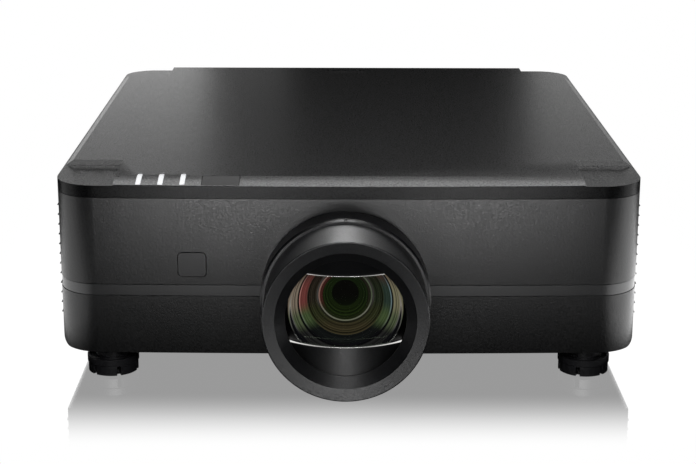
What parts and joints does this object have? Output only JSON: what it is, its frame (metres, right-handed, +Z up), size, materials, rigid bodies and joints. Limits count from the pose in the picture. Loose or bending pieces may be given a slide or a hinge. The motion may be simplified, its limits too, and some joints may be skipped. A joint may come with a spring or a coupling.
{
  "type": "projector",
  "caption": "Flat black laser projector with a deep round lens hood at the front, louvred sides and screw feet.",
  "frame": {"origin": "on the floor, at the middle of the overall box", "axes": "+Z up, +Y from the lens towards the rear, +X to the right as seen from the front"},
  "size_m": [0.4866, 0.602, 0.174],
  "materials": {
    "band": "satin black trim",
    "barrel": "matt black",
    "board": "green solder mask",
    "carriage": "machined",
    "case": "fine-textured moulded black",
    "cast_alloy": "cast",
    "cell": "black anodised cell with a coated glass",
    "diffuser": "frosted disc",
    "fan": "moulded black",
    "front_glass": "coated",
    "gear": "moulded",
    "heatsink": "extruded",
    "hood": "satin black",
    "jack": "moulded",
    "keys": "satin",
    "knob": "moulded black",
    "lens_ring": "satin black",
    "light_pipe": "clear white light pipe",
    "mask": "satin black",
    "motor": "plated can",
    "pad": "soft black rubber",
    "pinion": "natural acetal",
    "port_shell": "plated shell",
    "rear_panel": "textured moulded black",
    "sensor": "satin black",
    "sheet_metal": "zinc-plated sheet",
    "side_panels": "textured moulded black",
    "socket": "moulded black",
    "steel": "machined",
    "top_cover": "fine-textured moulded black",
    "window": "polished black"
  },
  "bodies": {
    "root": {"lower_case": "case", "accent_band": "band", "front_bezel": "case", "top_cover": "top_cover", "side_panel_left": "side_panels", "side_panel_right": "side_panels", "rear_panel": "rear_panel", "status_light_pipes": "light_pipe", "remote_window": "window", "sensor_window": "sensor", "case_screws": "steel", "chassis_plate": "sheet_metal", "power_supply": "sheet_metal", "main_board": "board", "light_engine": "cast_alloy", "dmd_heatsink": "heatsink", "laser_module": "cast_alloy", "laser_heatsink": "heatsink", "wheel_motor": "motor", "fan_frames": "fan", "shift_frame": "cast_alloy", "upright_guide_rods": "steel", "upright_motor": "motor", "power_inlet": "socket", "signal_ports": "port_shell", "audio_jacks": "jack"},
    "upright_slide": {"upright_carriage": "carriage", "level_guide_rods": "steel", "level_motor": "motor"},
    "lens": {"level_carriage": "carriage", "lens_barrel": "barrel", "lens_base_ring": "lens_ring", "lens_hood": "hood", "lens_mask": "mask", "front_glass": "front_glass", "glass_retainer": "barrel", "focus_motor": "motor"},
    "focus_ring": {"focus_ring": "gear"},
    "focus_pinion": {"focus_pinion": "pinion"},
    "focus_cell": {"focus_cell": "cell"},
    "upright_screw": {"upright_screw": "steel"},
    "level_screw": {"level_screw": "steel"},
    "diffuser_wheel": {"diffuser_wheel": "diffuser"},
    "intake_rotor": {"intake_rotor": "fan"},
    "exhaust_rotor_front": {"exhaust_rotor_front": "fan"},
    "exhaust_rotor_rear": {"exhaust_rotor_rear": "fan"},
    "mains_rocker": {"mains_rocker": "socket"},
    "power_key": {"power_key": "keys"},
    "menu_key": {"menu_key": "keys"},
    "enter_key": {"enter_key": "keys"},
    "up_down_key": {"up_down_key": "keys"},
    "left_right_key": {"left_right_key": "keys"},
    "foot_front_left": {"foot_pad_front_left": "pad"},
    "knob_front_left": {"foot_knob_front_left": "knob"},
    "foot_front_right": {"foot_pad_front_right": "pad"},
    "knob_front_right": {"foot_knob_front_right": "knob"},
    "foot_rear_left": {"foot_pad_rear_left": "pad"},
    "knob_rear_left": {"foot_knob_rear_left": "knob"},
    "foot_rear_right": {"foot_pad_rear_right": "pad"},
    "knob_rear_right": {"foot_knob_rear_right": "knob"}
  },
  "joints": [
    {"name": "lens_shift_up", "type": "slide", "parent": "root", "child": "upright_slide", "axis": [0, 0, 1], "range_m": [-0.005, 0.005]},
    {"name": "lens_shift_side", "type": "slide", "parent": "upright_slide", "child": "lens", "axis": [1, 0, 0], "range_m": [-0.003, 0.003]},
    {"name": "upright_screw_spin", "type": "hinge", "parent": "root", "child": "upright_screw", "pos_m": [0.075, -0.16, 0.081], "axis": [0, 0, 1], "range_deg": [-1801, 1801]},
    {"name": "level_screw_spin", "type": "hinge", "parent": "upright_slide", "child": "level_screw", "pos_m": [-0.003, -0.148, 0.128], "axis": [1, 0, 0], "range_deg": [-1081, 1081]},
    {"name": "focus_ring_turn", "type": "hinge", "parent": "lens", "child": "focus_ring", "pos_m": [-0.003, -0.191, 0.081], "axis": [0, -1, 0], "range_deg": [0, 90]},
    {"name": "focus_pinion_turn", "type": "hinge", "parent": "lens", "child": "focus_pinion", "pos_m": [0.04012, -0.191, 0.081], "axis": [0, -1, 0], "range_deg": [-464, 1]},
    {"name": "focus_cell_slide", "type": "slide", "parent": "lens", "child": "focus_cell", "axis": [0, -1, 0], "range_m": [-0.00001, 0.00401]},
    {"name": "diffuser_spin", "type": "hinge", "parent": "root", "child": "diffuser_wheel", "pos_m": [-0.032, -0.01, 0.0855], "axis": [0, 1, 0], "continuous": true},
    {"name": "intake_fan_spin", "type": "hinge", "parent": "root", "child": "intake_rotor", "pos_m": [-0.222, -0.128, 0.083], "axis": [1, 0, 0], "continuous": true},
    {"name": "exhaust_fan_front_spin", "type": "hinge", "parent": "root", "child": "exhaust_rotor_front", "pos_m": [0.222, 0.038, 0.083], "axis": [1, 0, 0], "continuous": true},
    {"name": "exhaust_fan_rear_spin", "type": "hinge", "parent": "root", "child": "exhaust_rotor_rear", "pos_m": [0.222, 0.227, 0.083], "axis": [1, 0, 0], "continuous": true},
    {"name": "mains_rocker_tip", "type": "hinge", "parent": "root", "child": "mains_rocker", "pos_m": [-0.125, 0.293, 0.068], "axis": [1, 0, 0], "range_deg": [-14, 0]},
    {"name": "power_key_press", "type": "slide", "parent": "root", "child": "power_key", "axis": [0, -1, 0], "range_m": [0, 0.0006], "stiffness_N_per_m": 1500},
    {"name": "menu_key_press", "type": "slide", "parent": "root", "child": "menu_key", "axis": [0, -1, 0], "range_m": [0, 0.0006], "stiffness_N_per_m": 1500},
    {"name": "enter_key_press", "type": "slide", "parent": "root", "child": "enter_key", "axis": [0, -1, 0], "range_m": [0, 0.0006], "stiffness_N_per_m": 1500},
    {"name": "up_down_key_rock", "type": "hinge", "parent": "root", "child": "up_down_key", "pos_m": [0.14, 0.2975, 0.126], "axis": [1, 0, 0], "range_deg": [-2.5, 2.5], "stiffness_Nm_per_rad": 0.4},
    {"name": "left_right_key_rock", "type": "hinge", "parent": "root", "child": "left_right_key", "pos_m": [0.14, 0.2975, 0.126], "axis": [0, 0, 1], "range_deg": [-2.5, 2.5], "stiffness_Nm_per_rad": 0.4},
    {"name": "foot_front_left_slide", "type": "slide", "parent": "root", "child": "foot_front_left", "axis": [0, 0, -1], "range_m": [-0.004, 0.014]},
    {"name": "foot_front_left_spin", "type": "hinge", "parent": "foot_front_left", "child": "knob_front_left", "pos_m": [-0.2, -0.186, 0.012], "axis": [0, 0, 1], "range_deg": [-961, 3361]},
    {"name": "foot_front_right_slide", "type": "slide", "parent": "root", "child": "foot_front_right", "axis": [0, 0, -1], "range_m": [-0.004, 0.014]},
    {"name": "foot_front_right_spin", "type": "hinge", "parent": "foot_front_right", "child": "knob_front_right", "pos_m": [0.2, -0.186, 0.012], "axis": [0, 0, 1], "range_deg": [-961, 3361]},
    {"name": "foot_rear_left_slide", "type": "slide", "parent": "root", "child": "foot_rear_left", "axis": [0, 0, -1], "range_m": [-0.004, 0.014]},
    {"name": "foot_rear_left_spin", "type": "hinge", "parent": "foot_rear_left", "child": "knob_rear_left", "pos_m": [-0.2, 0.241, 0.012], "axis": [0, 0, 1], "range_deg": [-961, 3361]},
    {"name": "foot_rear_right_slide", "type": "slide", "parent": "root", "child": "foot_rear_right", "axis": [0, 0, -1], "range_m": [-0.004, 0.014]},
    {"name": "foot_rear_right_spin", "type": "hinge", "parent": "foot_rear_right", "child": "knob_rear_right", "pos_m": [0.2, 0.241, 0.012], "axis": [0, 0, 1], "range_deg": [-961, 3361]}
  ],
  "couplings": [
    {"joint": "upright_screw_spin", "follows": "lens_shift_up", "rad_per_m": 6283.2},
    {"joint": "level_screw_spin", "follows": "lens_shift_side", "rad_per_m": 6283.2},
    {"joint": "focus_pinion_turn", "follows": "focus_ring_turn", "ratio": -5.1429},
    {"joint": "focus_cell_slide", "follows": "focus_ring_turn", "m_per_rad": 0.0025465},
    {"joint": "foot_front_left_spin", "follows": "foot_front_left_slide", "rad_per_m": 4188.8},
    {"joint": "foot_front_right_spin", "follows": "foot_front_right_slide", "rad_per_m": 4188.8},
    {"joint": "foot_rear_left_spin", "follows": "foot_rear_left_slide", "rad_per_m": 4188.8},
    {"joint": "foot_rear_right_spin", "follows": "foot_rear_right_slide", "rad_per_m": 4188.8}
  ]
}
